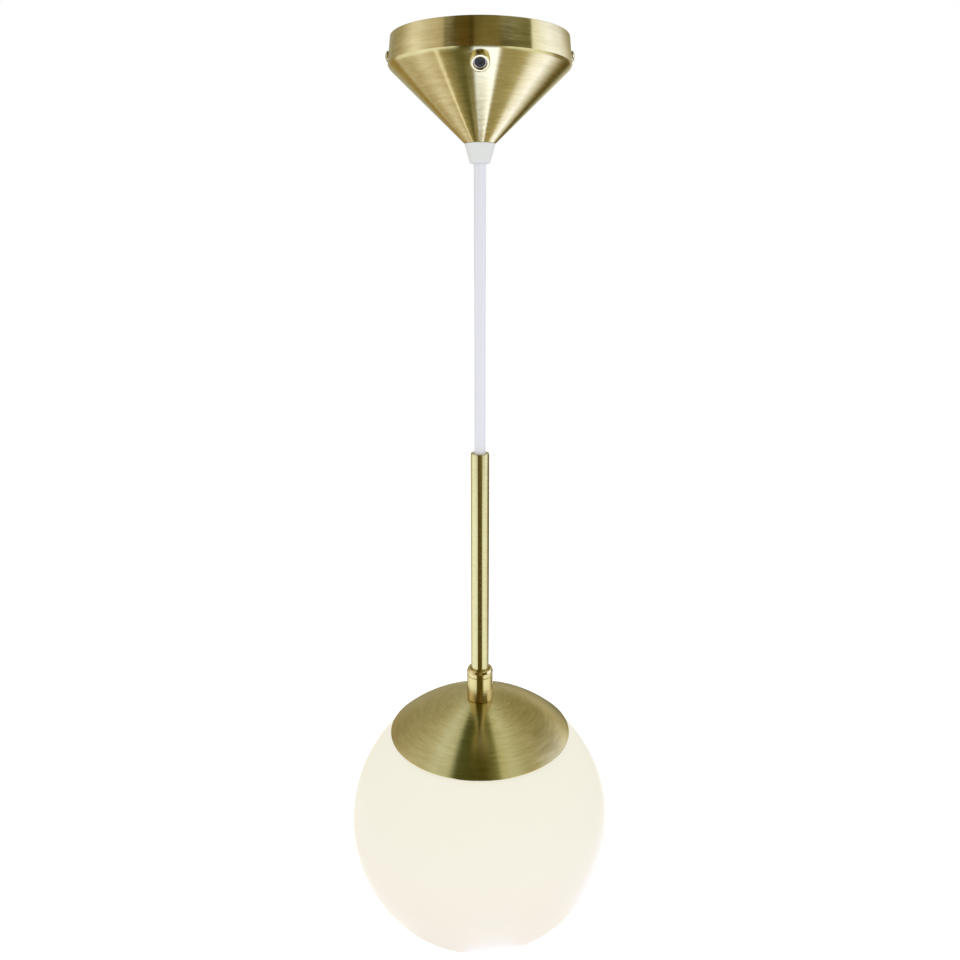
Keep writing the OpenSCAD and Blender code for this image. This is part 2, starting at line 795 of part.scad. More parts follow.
module lamp_earth_screw() {
    color(steel) at_earth_tag() translate([0, 0, lug_t])
        pan_screw(2.7, 1.8, m3_r, lug_t + holder_t - 0.05);
}

module lampholder() {
    top = stirrup_z;
    low = lampholder_z;
    color("ivory") difference() {
        translate([-lampholder_size[0] / 2, -lampholder_size[1] / 2, low]) cube(lampholder_size);
        for (x = [-lead_x, lead_x]) translate([x, 0, 0]) bar(pin_hole_r, top + 1, low - 1);
        for (x = [-lamp_screw_x, lamp_screw_x])
            translate([x, 0, 0]) bar(m2_r + thread_gap, top + 1, top - 7);
        for (side = [0, 1]) mirror([0, side, 0])
            translate([-lampholder_size[0], lampholder_size[1] / 2 - 1.2, low - 1])
                cube([2 * lampholder_size[0], 2, 7]);
    }
}

module holder_contacts() {
    color("peru") for (x = [-lead_x, lead_x]) translate([x, 0, 0])
        ring(contact_r, pin_d / 2 + run_gap, stirrup_z - lead_in - 0.2, lampholder_z + 0.8);
}

module holder_screws() {
    color(steel) for (x = [-lamp_screw_x, lamp_screw_x]) translate([x, 0, stirrup_z + holder_t])
        pan_screw(1.9, 1.3, m2_r, holder_t + 6);
}

module globe_seal() {
    color("gainsboro") ring(seal_r, thread_r + 0.3, ring_top + seal_t, ring_top);
}

module globe_glass() {
    color([0.98, 0.97, 0.92]) difference() {
        translate([0, 0, globe_z]) sphere(r = glass_r, $fn = 160);
        translate([0, 0, globe_z]) sphere(r = glass_in_r, $fn = 160);
        bar(glass_r, globe_z + 2 * glass_r, glass_cut_z);
    }
}

// The threaded ring in the globe's opening: a flange lies on the glass and the sleeve hangs inside.
module glass_ring() {
    color(steel) rotate_extrude() polygon([
        [thread_r + run_gap, ring_top], [flange_r, ring_top], [flange_r, glass_cut_z],
        [ring_r, glass_cut_z], [ring_r, ring_top - ring_l], [thread_r + run_gap, ring_top - ring_l]
    ]);
}

// A wire ring on the sleeve, close under the glass, that holds the glass against the flange.
module glass_clip() {
    wire_r = 1;
    clip_r = ring_r + wire_r + 0.05;
    color(steel) translate([0, 0, ball_z(glass_in_r - wire_r - 0.15, clip_r)])
        rotate_extrude() translate([clip_r, 0]) circle(r = wire_r, $fn = 24);
}

module lamp_capsule() {
    color("floralwhite") difference() {
        union() {
            bar(lamp_r, capsule_z, capsule_z - lamp_l + lamp_r);
            translate([0, 0, capsule_z - lamp_l + lamp_r]) sphere(r = lamp_r);
        }
        bar(lamp_r - lamp_wall, capsule_z + 1, capsule_z - lamp_l + lamp_r);
        translate([0, 0, capsule_z - lamp_l + lamp_r]) sphere(r = lamp_r - lamp_wall);
    }
}

module lamp_base() {
    plug = lamp_r - lamp_wall - 0.05;
    color("ivory") difference() {
        union() {
            rotate_extrude() polygon([
                [0, lamp_top_z], [lamp_r - 2.4, lamp_top_z], [lamp_r - 1.6, lamp_top_z - 0.8],
                [lamp_r, lamp_top_z - 4], [lamp_r, capsule_z], [0, capsule_z]
            ]);
            bar(plug, capsule_z + 1, capsule_z - 3);
        }
        for (x = [-lead_x, lead_x])
            translate([x, 0, 0]) bar(pin_d / 2 + thread_gap, lamp_top_z + 1, lamp_top_z - 4);
    }
}

module lamp_pins() {
    color("silver") for (x = [-lead_x, lead_x]) translate([x, 0, 0]) {
        bar(pin_d / 2, lamp_top_z + pin_l - pin_d / 2, lamp_top_z - 4);
        translate([0, 0, lamp_top_z + pin_l - pin_d / 2]) sphere(r = pin_d / 2);
    }
}

// The strip that carries the light-emitting chips.
module lamp_board() {
    strip_w = 1.5 * (lamp_r - lamp_wall);
    strip_top = capsule_z - 3;
    strip_l = lamp_l - lamp_r - 3;
    chips = 5;
    color("gold") {
        translate([-strip_w / 2, -0.6, strip_top - strip_l]) cube([strip_w, 1.2, strip_l]);
        for (i = [0:chips - 1]) translate([-1.5, -1.2, strip_top - strip_l * (i + 0.8) / (chips + 0.4)])
            cube([3, 2.4, 3]);
    }
}

ceiling_bracket();
side_screws();
earth_screw();
earth_washer();
earth_lug();
terminal_block();
terminal_sleeves();
terminal_screws();
block_screws();
live_core();
neutral_core();
earth_core();
cord_tail();
canopy();
lock_boss();
lock_boss_nut();
lock_screw();
gland();
gland_collet();
gland_locknut();
cord_neck();
pendant_cord();
tube();
tube_bush();
lock_ring();
collar();
nipple();
cap_dome();
cap_washer();
globe_carrier();
holder_bracket();
nipple_washer();
nipple_nut();
cord_grip();
cord_grip_screw();
lamp_live_lead();
lamp_neutral_lead();
lamp_earth_lead();
lamp_earth_lug();
lamp_earth_screw();
lampholder();
holder_contacts();
holder_screws();
globe_seal();
globe_glass();
glass_ring();
glass_clip();
lamp_capsule();
lamp_base();
lamp_pins();
lamp_board();
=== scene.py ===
# A pendant ceiling light: a cone canopy, a white flex, a slim tube with its collar, a domed cap and an
# opal glass globe. Metres, +Z up. The origin is on the ceiling and the light hangs along -Z.
import math

import bmesh
import bpy
import numpy as np
from mathutils import Matrix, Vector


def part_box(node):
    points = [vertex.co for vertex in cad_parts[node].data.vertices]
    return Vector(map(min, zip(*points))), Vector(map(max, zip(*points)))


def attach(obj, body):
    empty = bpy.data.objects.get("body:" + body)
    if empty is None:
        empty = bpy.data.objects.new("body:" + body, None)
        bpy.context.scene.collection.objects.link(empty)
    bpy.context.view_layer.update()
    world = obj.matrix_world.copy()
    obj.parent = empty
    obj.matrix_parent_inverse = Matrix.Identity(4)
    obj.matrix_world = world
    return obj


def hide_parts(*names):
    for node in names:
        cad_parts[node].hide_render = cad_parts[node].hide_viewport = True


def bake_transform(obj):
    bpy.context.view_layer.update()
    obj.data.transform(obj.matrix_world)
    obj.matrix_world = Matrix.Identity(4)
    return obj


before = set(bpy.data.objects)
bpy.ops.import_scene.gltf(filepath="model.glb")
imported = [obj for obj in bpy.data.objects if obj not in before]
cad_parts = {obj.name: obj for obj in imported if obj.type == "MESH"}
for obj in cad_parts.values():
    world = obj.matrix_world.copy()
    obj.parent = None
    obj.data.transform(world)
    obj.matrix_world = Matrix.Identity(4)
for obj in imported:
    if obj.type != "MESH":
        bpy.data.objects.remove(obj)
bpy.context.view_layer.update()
scene = bpy.context.scene

# ---- Camera ----
# It stands half a metre in front of the light, a little below the canopy, and looks down at the globe,
# so that it sees the canopy's cone from below and the domed cap from above.
camera = bpy.data.objects.new("camera", bpy.data.cameras.new("camera"))
camera.data.sensor_width = 36
camera.data.lens = 31.875
camera.data.clip_start = 0.01
camera.location = (0, -0.5275, -0.1145)
camera.rotation_euler = (math.radians(90 - 15.265), 0, 0)
scene.collection.objects.link(camera)
scene.camera = camera
scene.view_settings.view_transform = "Standard"

# ---- Flex ----
# A round three-core flex with a smooth white sheath. It comes out of the gland, runs straight down the
# tube and ends in the cord grip under the cap.
FLEX_D = 0.0072
GLAND_TIP_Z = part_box("gland")[0].z
FLEX_TOP_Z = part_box("cord_neck")[1].z
FLEX_END_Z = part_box("pendant_cord")[0].z


def skin(name, grid, wrap_rows):
    """A closed surface over a grid of points (row, column, xyz). The columns join round. The rows join
    round too where they are the outline of a ring, or else end in flat caps, as on a rod. The UV map
    has the share of a turn across and the distance along the first column, in metres, up."""
    rows, columns = grid.shape[:2]
    index = np.arange(rows * columns).reshape(rows, columns)
    low, high = (index, np.roll(index, -1, 0)) if wrap_rows else (index[:-1], index[1:])
    quads = np.stack([low, np.roll(low, -1, 1), np.roll(high, -1, 1), high], -1).reshape(-1, 4)
    caps = [] if wrap_rows else [index[0, ::-1].tolist(), index[-1].tolist()]
    mesh = bpy.data.meshes.new(name)
    mesh.from_pydata(grid.reshape(-1, 3).tolist(), [], quads.tolist() + caps)
    steps = np.linalg.norm(np.roll(grid[:, 0], -1, 0) - grid[:, 0], axis=1)
    along = np.concatenate([[0], np.cumsum(steps)])
    turn = np.arange(columns + 1) / columns
    u = np.stack([turn[:-1], turn[1:], turn[1:], turn[:-1]], -1)[None].repeat(len(low), 0)
    v = np.stack([along[:-1], along[:-1], along[1:], along[1:]], -1)[: len(low), None].repeat(columns, 1)
    corners = np.zeros((len(mesh.loops), 2), np.float32)
    corners[: quads.size] = np.stack([u, v], -1).reshape(-1, 2)
    mesh.uv_layers.new(name="UVMap").data.foreach_set("uv", corners.ravel())
    return mesh


def piece(name, mesh, sharp=32, turned=None):
    """An object with its place in its mesh: poles are closed, stray edges go, faces point outwards, and
    edges over the sharp angle, in degrees, stay crisp."""
    work = bmesh.new()
    work.from_mesh(mesh)
    bmesh.ops.remove_doubles(work, verts=work.verts, dist=1e-7)
    bmesh.ops.delete(work, geom=[e for e in work.edges if not e.link_faces], context="EDGES")
    bmesh.ops.recalc_face_normals(work, faces=work.faces)
    work.to_mesh(mesh)
    work.free()
    if turned is not None:
        mesh.transform(turned)
    mesh.shade_smooth()
    mesh.set_sharp_from_angle(angle=math.radians(sharp))
    made = bpy.data.objects.new(name, mesh)
    scene.collection.objects.link(made)
    return made


def rod(path, radius, sides=40):
    """A round bar: at each point of an upright path lies a ring, radius * (cos, sin) of even angles."""
    angle = math.pi / 2 + 2 * math.pi * np.arange(sides) / sides
    ring = np.stack([np.cos(angle), np.sin(angle), np.zeros(sides)], -1) * radius
    return path[:, None] + ring[None]


def shader_group(name, inputs, outputs):
    """An empty shader group with named inputs and outputs, and its two ends to link to."""
    group = bpy.data.node_groups.new(name, "ShaderNodeTree")
    for label, kind in inputs:
        group.interface.new_socket(label, in_out="INPUT", socket_type=kind)
    for label, kind in outputs:
        group.interface.new_socket(label, in_out="OUTPUT", socket_type=kind)
    return group, group.nodes.new("NodeGroupInput").outputs, group.nodes.new("NodeGroupOutput").inputs


def node(tree, kind, settings=None, **wires):
    """A node of that kind. Settings are its own properties. Each wire is an input's name or _number
    with a value, or with the output that feeds it. Returns the node."""
    made = tree.nodes.new("ShaderNode" + kind)
    for label, value in (settings or {}).items():
        setattr(made, label, value)
    for label, value in wires.items():
        socket = made.inputs[int(label[1:])] if label[0] == "_" else made.inputs[label.replace("_", " ")]
        if isinstance(value, bpy.types.NodeSocket):
            tree.links.new(value, socket)
        else:
            socket.default_value = value
    return made


def calc(tree, operation, *values):
    """The output of a Math node."""
    wires = {f"_{i}": value for i, value in enumerate(values)}
    return node(tree, "Math", {"operation": operation}, **wires).outputs[0]


def blend_colours(tree, share, first, second):
    """The first colour at share 0 and the second at share 1."""
    mixed = node(tree, "Mix", {"data_type": "RGBA"}, _0=share, _6=first, _7=second)
    return mixed.outputs[2]


def spread(tree, value, low, high):
    """The value, which runs from 0 to 1, stretched to run from low to high."""
    return node(tree, "MapRange", None, Value=value, To_Min=low, To_Max=high).outputs[0]


# Grain: a fine noise for the bump, and a slow one for colour that drifts over a moulding or a plating.
grain, grain_in, grain_out = shader_group(
    "grain",
    [("Vector", "NodeSocketVector"), ("Per Metre", "NodeSocketFloat")],
    [("Fine", "NodeSocketFloat"), ("Drift", "NodeSocketFloat")],
)
fine = node(grain, "TexNoise", None, Vector=grain_in["Vector"], Scale=grain_in["Per Metre"], Detail=3.0)
slow = calc(grain, "MULTIPLY", grain_in["Per Metre"], 0.07)
drift = node(grain, "TexNoise", None, Vector=grain_in["Vector"], Scale=slow, Detail=2.0)
grain.links.new(fine.outputs[0], grain_out["Fine"])
grain.links.new(drift.outputs[0], grain_out["Drift"])


def put_group(tree, group, **wires):
    """A shader group placed in a material, with its inputs linked or set."""
    placed = tree.nodes.new("ShaderNodeGroup")
    placed.node_tree = group
    for label, value in wires.items():
        socket = placed.inputs[label.replace("_", " ")]
        if isinstance(value, bpy.types.NodeSocket):
            tree.links.new(value, socket)
        else:
            socket.default_value = value
    return placed.outputs


def blank(name, **fixed):
    """A material with one Principled shader, whose named sockets get fixed values. Returns the
    material, its node tree and the shader's inputs."""
    material = bpy.data.materials.new(name)
    material.use_nodes = True
    tree = material.node_tree
    inputs = tree.nodes["Principled BSDF"].inputs
    for label, value in fixed.items():
        inputs[label.replace("_", " ")].default_value = value
    return material, tree, inputs


def wire_up(tree, inputs, colour, roughness, height, relief):
    """Links colour and roughness to the shader, and the height through a bump of that many metres."""
    tree.links.new(colour, inputs["Base Color"])
    tree.links.new(roughness, inputs["Roughness"])
    bump = node(tree, "Bump", None, Strength=1.0, Distance=relief, Height=height)
    tree.links.new(bump.outputs[0], inputs["Normal"])


def moulded(name, light, dark, rough, per_metre=900.0, relief=0.00001, **fixed):
    """A moulded, fired or plated finish: its colour drifts between two tones, with a fine grain."""
    material, tree, inputs = blank(name, **fixed)
    place = node(tree, "TexCoord").outputs["Object"]
    out = put_group(tree, grain, Vector=place, Per_Metre=per_metre)
    tone = calc(
        tree, "ADD", calc(tree, "MULTIPLY", out["Drift"], 0.7), calc(tree, "MULTIPLY", out["Fine"], 0.3)
    )
    colour = blend_colours(tree, tone, (*dark, 1), (*light, 1))
    wire_up(tree, inputs, colour, spread(tree, out["Fine"], rough - 0.06, rough + 0.06), out["Fine"], relief)
    return material


def fit(made, body, slot, material, *nodes):
    """The piece takes its material, rides on its body and stands for the nodes. The slot is not used."""
    made.data.materials.append(material)
    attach(made, body)
    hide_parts(*nodes)


def sheath(name, light, dark, rough):
    """A drawn plastic sheath: faint streaks run along it, on the piece's own UV map."""
    material, tree, inputs = blank(name, Specular_IOR_Level=0.4)
    along = node(tree, "UVMap", {"uv_map": "UVMap"}).outputs[0]
    lines = node(tree, "Mapping", None, Vector=along, Scale=(34.0, 16.0, 1.0)).outputs[0]
    streak = node(tree, "TexNoise", None, Vector=lines, Scale=1.0, Detail=3.0).outputs[0]
    skin_grain = put_group(tree, grain, Vector=along, Per_Metre=700.0)
    colour = blend_colours(tree, spread(tree, streak, -0.4, 1.4), (*dark, 1), (*light, 1))
    roughness = spread(tree, skin_grain["Fine"], rough - 0.05, rough + 0.05)
    wire_up(tree, inputs, colour, roughness, skin_grain["Fine"], 0.000006)
    return material


FLEX_RINGS = 300
flex_path = np.linspace((0, 0, FLEX_TOP_Z), (0, 0, FLEX_END_Z), FLEX_RINGS)
flex = piece("flex", skin("flex", rod(flex_path, FLEX_D / 2), False))
flex.data.materials.append(sheath("white_sheath", (0.84, 0.84, 0.865), (0.76, 0.76, 0.785), 0.42))
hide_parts("cord_neck", "pendant_cord")
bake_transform(flex)

# ---- Ceiling bracket and its screws ----
# A bent steel strap with two slots for the ceiling's screws, zinc plated. Its ears take the two side
# screws of the canopy, and its earth screw, washer and ring lug sit beside one slot.


def repaint(material, *nodes):
    """CAD nodes whose shape is right keep it and take the material."""
    for name in nodes:
        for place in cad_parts[name].material_slots:
            place.material = material


zinc = moulded("zinc_plate", (0.66, 0.67, 0.70), (0.46, 0.47, 0.50), 0.34, 700.0, 0.000008, Metallic=1.0)
tin = moulded("tinned_copper", (0.74, 0.71, 0.66), (0.60, 0.54, 0.48), 0.30, 500.0, 0.00001, Metallic=1.0)
repaint(zinc, "ceiling_bracket", "earth_screw", "earth_washer")
repaint(tin, "earth_lug", "lamp_earth_lug")

# ---- Terminal block ----
# A three-pole block of white nylon under the strap, with turned brass sleeves and steel clamp screws.
# The supply wires go in at the back and the flex's cores come in at the front.
nylon = moulded("white_nylon", (0.82, 0.825, 0.775), (0.75, 0.755, 0.705), 0.55, 800.0, 0.000015)
sleeve_brass = moulded(
    "turned_brass", (0.72, 0.53, 0.24), (0.55, 0.38, 0.15), 0.28, 900.0, 0.00001, Metallic=1.0
)
repaint(nylon, "terminal_block", "gland_collet", "gland_locknut", "tube_bush", "cord_grip", "cord_grip_screw")
repaint(sleeve_brass, "terminal_sleeves")
repaint(zinc, "terminal_screws", "block_screws")

# ---- Cores and leads ----
# The flex's stripped cores: brown for live, blue for neutral, and green with yellow bands for earth,
# all in thin glossy insulation. The same three leads run from the flex's end to the lampholder.
live_skin = moulded("brown_insulation", (0.26, 0.10, 0.045), (0.15, 0.055, 0.025), 0.32, 1500.0, 0.00001)
neutral_skin = moulded("blue_insulation", (0.05, 0.17, 0.50), (0.03, 0.10, 0.34), 0.32, 1500.0, 0.00001)
flex_sheath = moulded("sheath_end", (0.80, 0.80, 0.815), (0.70, 0.70, 0.715), 0.42, 900.0, 0.00001)


def banded_insulation(name, green, yellow):
    """Two colours in slanting bands: a wave over Object coordinates, pushed to hard edges."""
    material, tree, inputs = blank(name)
    place = node(tree, "TexCoord").outputs["Object"]
    wave = node(tree, "TexWave", {"bands_direction": "DIAGONAL"}, Vector=place, Scale=70.0, Distortion=0.6)
    edge = node(tree, "MapRange", None, Value=wave.outputs[1], From_Min=0.62, From_Max=0.70).outputs[0]
    out = put_group(tree, grain, Vector=place, Per_Metre=1500.0)
    colour = blend_colours(tree, edge, (*green, 1), (*yellow, 1))
    wire_up(tree, inputs, colour, spread(tree, out["Fine"], 0.28, 0.38), out["Fine"], 0.00001)
    return material


earth_skin = banded_insulation("green_yellow_insulation", (0.03, 0.28, 0.05), (0.75, 0.60, 0.03))
repaint(live_skin, "live_core", "lamp_live_lead")
repaint(neutral_skin, "neutral_core", "lamp_neutral_lead")
repaint(earth_skin, "earth_core", "lamp_earth_lead")
repaint(flex_sheath, "cord_tail")

# ---- Canopy ----
# Spun brass, 1 mm thick: a low band that widens to a crisp fold, a rolled corner and a straight cone down
# to the gland. It is brushed round its axis with fine lines and lacquered.
BAND_H = 0.0145
BAND_FLARE = 0.0017
CANOPY_TOP_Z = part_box("canopy")[1].z
FOLD_Z = CANOPY_TOP_Z - BAND_H
SEAT_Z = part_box("canopy")[0].z
FOLD_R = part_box("canopy")[1].x
RIM_R = FOLD_R - BAND_FLARE
CANOPY_WALL = 0.001
CORNER_ROUND = 0.006
CREASE = math.radians(22)
SEAT_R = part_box("gland")[1].x
STEM_HOLE_R = 0.0052


def rounded(corners, steps=7):
    """An outline whose corners (r, z, radius) are arcs. Each arc touches both its sides: it starts at
    radius / tan(half the corner's angle) from the corner, and its centre lies on the bisector."""
    corners = np.array(corners, float)
    spots, radii = corners[:, :2], corners[:, 2]
    to_last, to_next = np.roll(spots, 1, 0) - spots, np.roll(spots, -1, 0) - spots
    outline = []
    for spot, back, ahead, radius in zip(spots, to_last, to_next, radii):
        if radius == 0:
            outline.append(spot[None])
            continue
        back, ahead = back / np.linalg.norm(back), ahead / np.linalg.norm(ahead)
        half = math.acos(np.clip(back @ ahead, -1, 1)) / 2
        bisector = (back + ahead) / np.linalg.norm(back + ahead)
        centre = spot + bisector * radius / math.sin(half)
        share = np.linspace(-1, 1, steps)[:, None] * (math.pi / 2 - half)
        sideways = (ahead - back) / np.linalg.norm(ahead - back)
        outline.append(centre + radius * (np.sin(share) * sideways - np.cos(share) * bisector))
    return np.concatenate(outline)


def revolved(name, outline, turns=192, sharp=32, turned=None):
    """A turned piece: each point (r, z) of its closed outline goes round Z at even angles."""
    angle = math.pi / 2 + 2 * math.pi * np.arange(turns) / turns
    r, z = outline[:, :1], outline[:, 1:]
    grid = np.stack([r * np.cos(angle), r * np.sin(angle), z.repeat(turns, 1)], -1)
    return piece(name, skin(name, grid, True), sharp, turned)


# Spun lines: a noise that is fine across the lines, along the height and the radius, and slow round
# the axis. Tone is a wider and much longer set of the same lines, for bands of colour.
spun, spun_in, spun_out = shader_group(
    "spun_lines",
    [("Vector", "NodeSocketVector"), ("Per Metre", "NodeSocketFloat"), ("Round", "NodeSocketFloat")],
    [("Lines", "NodeSocketFloat"), ("Tone", "NodeSocketFloat")],
)
split = node(spun, "SeparateXYZ", None, Vector=spun_in["Vector"]).outputs
flat = node(spun, "CombineXYZ", None, X=split[0], Y=split[1]).outputs[0]
radius_out = node(spun, "VectorMath", {"operation": "LENGTH"}, _0=flat).outputs["Value"]
heading = node(spun, "VectorMath", {"operation": "NORMALIZE"}, _0=flat).outputs["Vector"]
heading_split = node(spun, "SeparateXYZ", None, Vector=heading).outputs
for output, share, shortness in (("Lines", 1.0, 1.0), ("Tone", 0.35, 0.4)):
    count = calc(spun, "MULTIPLY", spun_in["Per Metre"], share)
    bend = calc(spun, "MULTIPLY", spun_in["Round"], shortness)
    across = node(
        spun,
        "CombineXYZ",
        None,
        X=calc(spun, "MULTIPLY", heading_split[0], bend),
        Y=calc(spun, "MULTIPLY", heading_split[1], bend),
        Z=calc(spun, "MULTIPLY", split[2], count),
    )
    noise = node(
        spun,
        "TexNoise",
        {"noise_dimensions": "4D"},
        Vector=across.outputs[0],
        W=calc(spun, "MULTIPLY", radius_out, count),
        Scale=1.0,
        Detail=3.0,
        Roughness=0.6,
    )
    spun.links.new(noise.outputs[0], spun_out[output])


def brushed(name, light, dark, rough, stretch, per_metre, relief, round_axis=True):
    """Lacquered brass, brushed round its axis: tone, roughness and bump follow the spun lines, and
    the highlight is drawn out across them."""
    material, tree, inputs = blank(
        name,
        Metallic=1.0,
        Anisotropic=stretch,
        Anisotropic_Rotation=0.25,
        Coat_Weight=0.06,
        Coat_Roughness=0.1,
    )
    place = node(tree, "TexCoord").outputs["Object"]
    out = put_group(tree, spun, Vector=place, Per_Metre=per_metre, Round=4.0)
    haze = put_group(tree, grain, Vector=place, Per_Metre=420.0)["Drift"]
    narrow, wide = calc(tree, "MULTIPLY", out["Lines"], 0.55), calc(tree, "MULTIPLY", out["Tone"], 0.25)
    tone = calc(tree, "ADD", calc(tree, "ADD", narrow, wide), calc(tree, "MULTIPLY", haze, 0.20))
    crisp = node(tree, "MapRange", None, Value=tone, From_Min=0.34, From_Max=0.66).outputs[0]
    colour = blend_colours(tree, crisp, (*dark, 1), (*light, 1))
    roughness = spread(tree, out["Lines"], rough - 0.08, rough + 0.08)
    wire_up(tree, inputs, colour, roughness, out["Lines"], relief)
    if round_axis:
        turn = node(tree, "Tangent", {"direction_type": "RADIAL", "axis": "Z"}).outputs[0]
        tree.links.new(turn, inputs["Tangent"])
    return material


BRASS_LIGHT = (0.70, 0.60, 0.30)
BRASS_DARK = (0.53, 0.44, 0.19)
fold = np.array([FOLD_R, FOLD_Z])
arc_centre = fold + CORNER_ROUND * np.array([-math.cos(CREASE), math.sin(CREASE)])
to_seat = np.array([SEAT_R, SEAT_Z]) - arc_centre
cone_slope = math.atan2(-to_seat[0], -to_seat[1]) + math.asin(CORNER_ROUND / np.linalg.norm(to_seat))
reach = CORNER_ROUND * math.tan((cone_slope - CREASE) / 2)
corner = fold - reach * np.array([math.sin(CREASE), math.cos(CREASE)])
wall_in = CANOPY_WALL * np.array([-math.cos(cone_slope), math.sin(cone_slope)])
seat_in_r = SEAT_R + wall_in[0] + (CANOPY_WALL - wall_in[1]) * math.tan(cone_slope)
canopy_outline = rounded([
    (RIM_R - CANOPY_WALL, CANOPY_TOP_Z, 0.0003),
    (RIM_R, CANOPY_TOP_Z, 0.0003),
    (*fold, 0.0004),
    (*corner, CORNER_ROUND * 0.9),
    (SEAT_R, SEAT_Z, 0),
    (STEM_HOLE_R, SEAT_Z, 0),
    (STEM_HOLE_R, SEAT_Z + CANOPY_WALL, 0),
    (seat_in_r, SEAT_Z + CANOPY_WALL, 0),
    (*(corner + wall_in), CORNER_ROUND * 0.7),
    (FOLD_R - CANOPY_WALL, FOLD_Z, 0.0004),
])
spun_brass = brushed("spun_brass", BRASS_LIGHT, BRASS_DARK, 0.20, 0.96, 620.0, 0.000030)
canopy = revolved("canopy_shell", canopy_outline, 256, 12)
fit(canopy, "ceiling", "satin_brass", spun_brass, "canopy")

# ---- Side screws ----
# Two brass-plated pan heads, slotted, that hold the canopy to the bracket's ears through the band.
plated = moulded("plated_screw", (0.68, 0.58, 0.33), (0.50, 0.42, 0.22), 0.25, 1200.0, 0.00001, Metallic=1.0)
repaint(plated, "side_screws")

# ---- Lock boss and its screw ----
# A turned brass boss on the cone's front, square to it, with a nut inside. A steel cup screw lies in its
# bore: a bright rim round a dark disc with a socket; the disc's darkness is painted shade. Heights are above
# the cone's surface.
BOSS_R = 0.00525
BOSS_H = 0.0032
BOSS_BORE_R = 0.0036
BOSS_STEM_R = 0.0039
BOSS_STEM_L = 0.0055
BOSS_FROM_FOLD = 0.0077
BOSS_FLOOR = 0.0004
BOSS_FOOT = -0.0009
BOSS_SCREW_TOP = BOSS_H - 0.0011
LOCK_THREAD_R = 0.00195
cone_way = -np.array([math.sin(cone_slope), math.cos(cone_slope)])
cone_top = arc_centre + CORNER_ROUND * np.array([math.cos(cone_slope), -math.sin(cone_slope)])
boss_foot = cone_top + (BOSS_FROM_FOLD - CORNER_ROUND * (cone_slope - CREASE)) * cone_way
square_to_cone = Matrix.Rotation(math.pi / 2 + cone_slope, 4, "X")
at_boss = Matrix.Translation((0, -boss_foot[0], boss_foot[1])) @ square_to_cone
polished_brass = brushed(
    "polished_brass", (0.70, 0.60, 0.30), (0.62, 0.52, 0.25), 0.16, 0.0, 1300.0, 0.000006, False
)
boss = revolved("boss", rounded([
    (BOSS_R, BOSS_FOOT, 0.0001),
    (BOSS_R, BOSS_H, 0.0006),
    (BOSS_BORE_R, BOSS_H, 0.0003),
    (BOSS_BORE_R, BOSS_FLOOR, 0.0001),
    (LOCK_THREAD_R + 0.00005, BOSS_FLOOR, 0),
    (LOCK_THREAD_R + 0.00005, -BOSS_STEM_L, 0),
    (BOSS_STEM_R, -BOSS_STEM_L, 0.0003),
    (BOSS_STEM_R, BOSS_FOOT, 0),
]), 96, 30, at_boss)
fit(boss, "ceiling", "polished_brass", polished_brass, "lock_boss")

CUP_R = BOSS_BORE_R - 0.00005
CUP_MOUTH_R = 0.0029
CUP_FLOOR_R = 0.0026
CUP_FLOOR = BOSS_SCREW_TOP - 0.00135
LOCK_SCREW_END = -BOSS_STEM_L + 0.0006
cup = revolved("lock_screw_cup", rounded([
    (0, CUP_FLOOR, 0),
    (CUP_FLOOR_R, CUP_FLOOR, 0),
    (CUP_MOUTH_R, BOSS_SCREW_TOP, 0.0002),
    (CUP_R, BOSS_SCREW_TOP, 0.0002),
    (CUP_R, BOSS_FLOOR + 0.0001, 0.0002),
    (LOCK_THREAD_R, BOSS_FLOOR + 0.0001, 0),
    (LOCK_THREAD_R, LOCK_SCREW_END, 0.0003),
    (0, LOCK_SCREW_END, 0),
]), 72, 30, at_boss)
bright_steel = moulded(
    "bright_steel", (0.60, 0.54, 0.42), (0.48, 0.44, 0.35), 0.3, 900.0, 0.000006, Metallic=1.0
)
fit(cup, "ceiling", "zinc_steel", bright_steel, "lock_screw")

# The dark disc in the cup, which hides the cup's own floor, with the socket in its middle. Its near-black
# colour is painted shade for the recess.
SOCKET_R = 0.00145
SOCKET_FLOOR = BOSS_SCREW_TOP - 0.0012
DISC_TOP = BOSS_SCREW_TOP - 0.0005
DISC_BACK = BOSS_SCREW_TOP - 0.0014
socket = revolved("lock_screw_socket", rounded([
    (0, SOCKET_FLOOR, 0),
    (SOCKET_R, SOCKET_FLOOR, 0),
    (SOCKET_R, DISC_TOP, 0.00008),
    (CUP_FLOOR_R, DISC_TOP, 0.00008),
    (CUP_FLOOR_R, DISC_BACK, 0),
    (0, DISC_BACK, 0),
]), 72, 30, at_boss)
# Near-black: painted shade for the recess down in the cup.
recess_shade_steel = moulded(
    "recess_shade_steel",
    (0.075, 0.075, 0.08),
    (0.03, 0.03, 0.035),
    0.45,
    1400.0,
    0.00001,
    Specular_IOR_Level=0.2,
)
fit(socket, "ceiling", "zinc_steel", recess_shade_steel)
repaint(zinc, "lock_boss_nut")

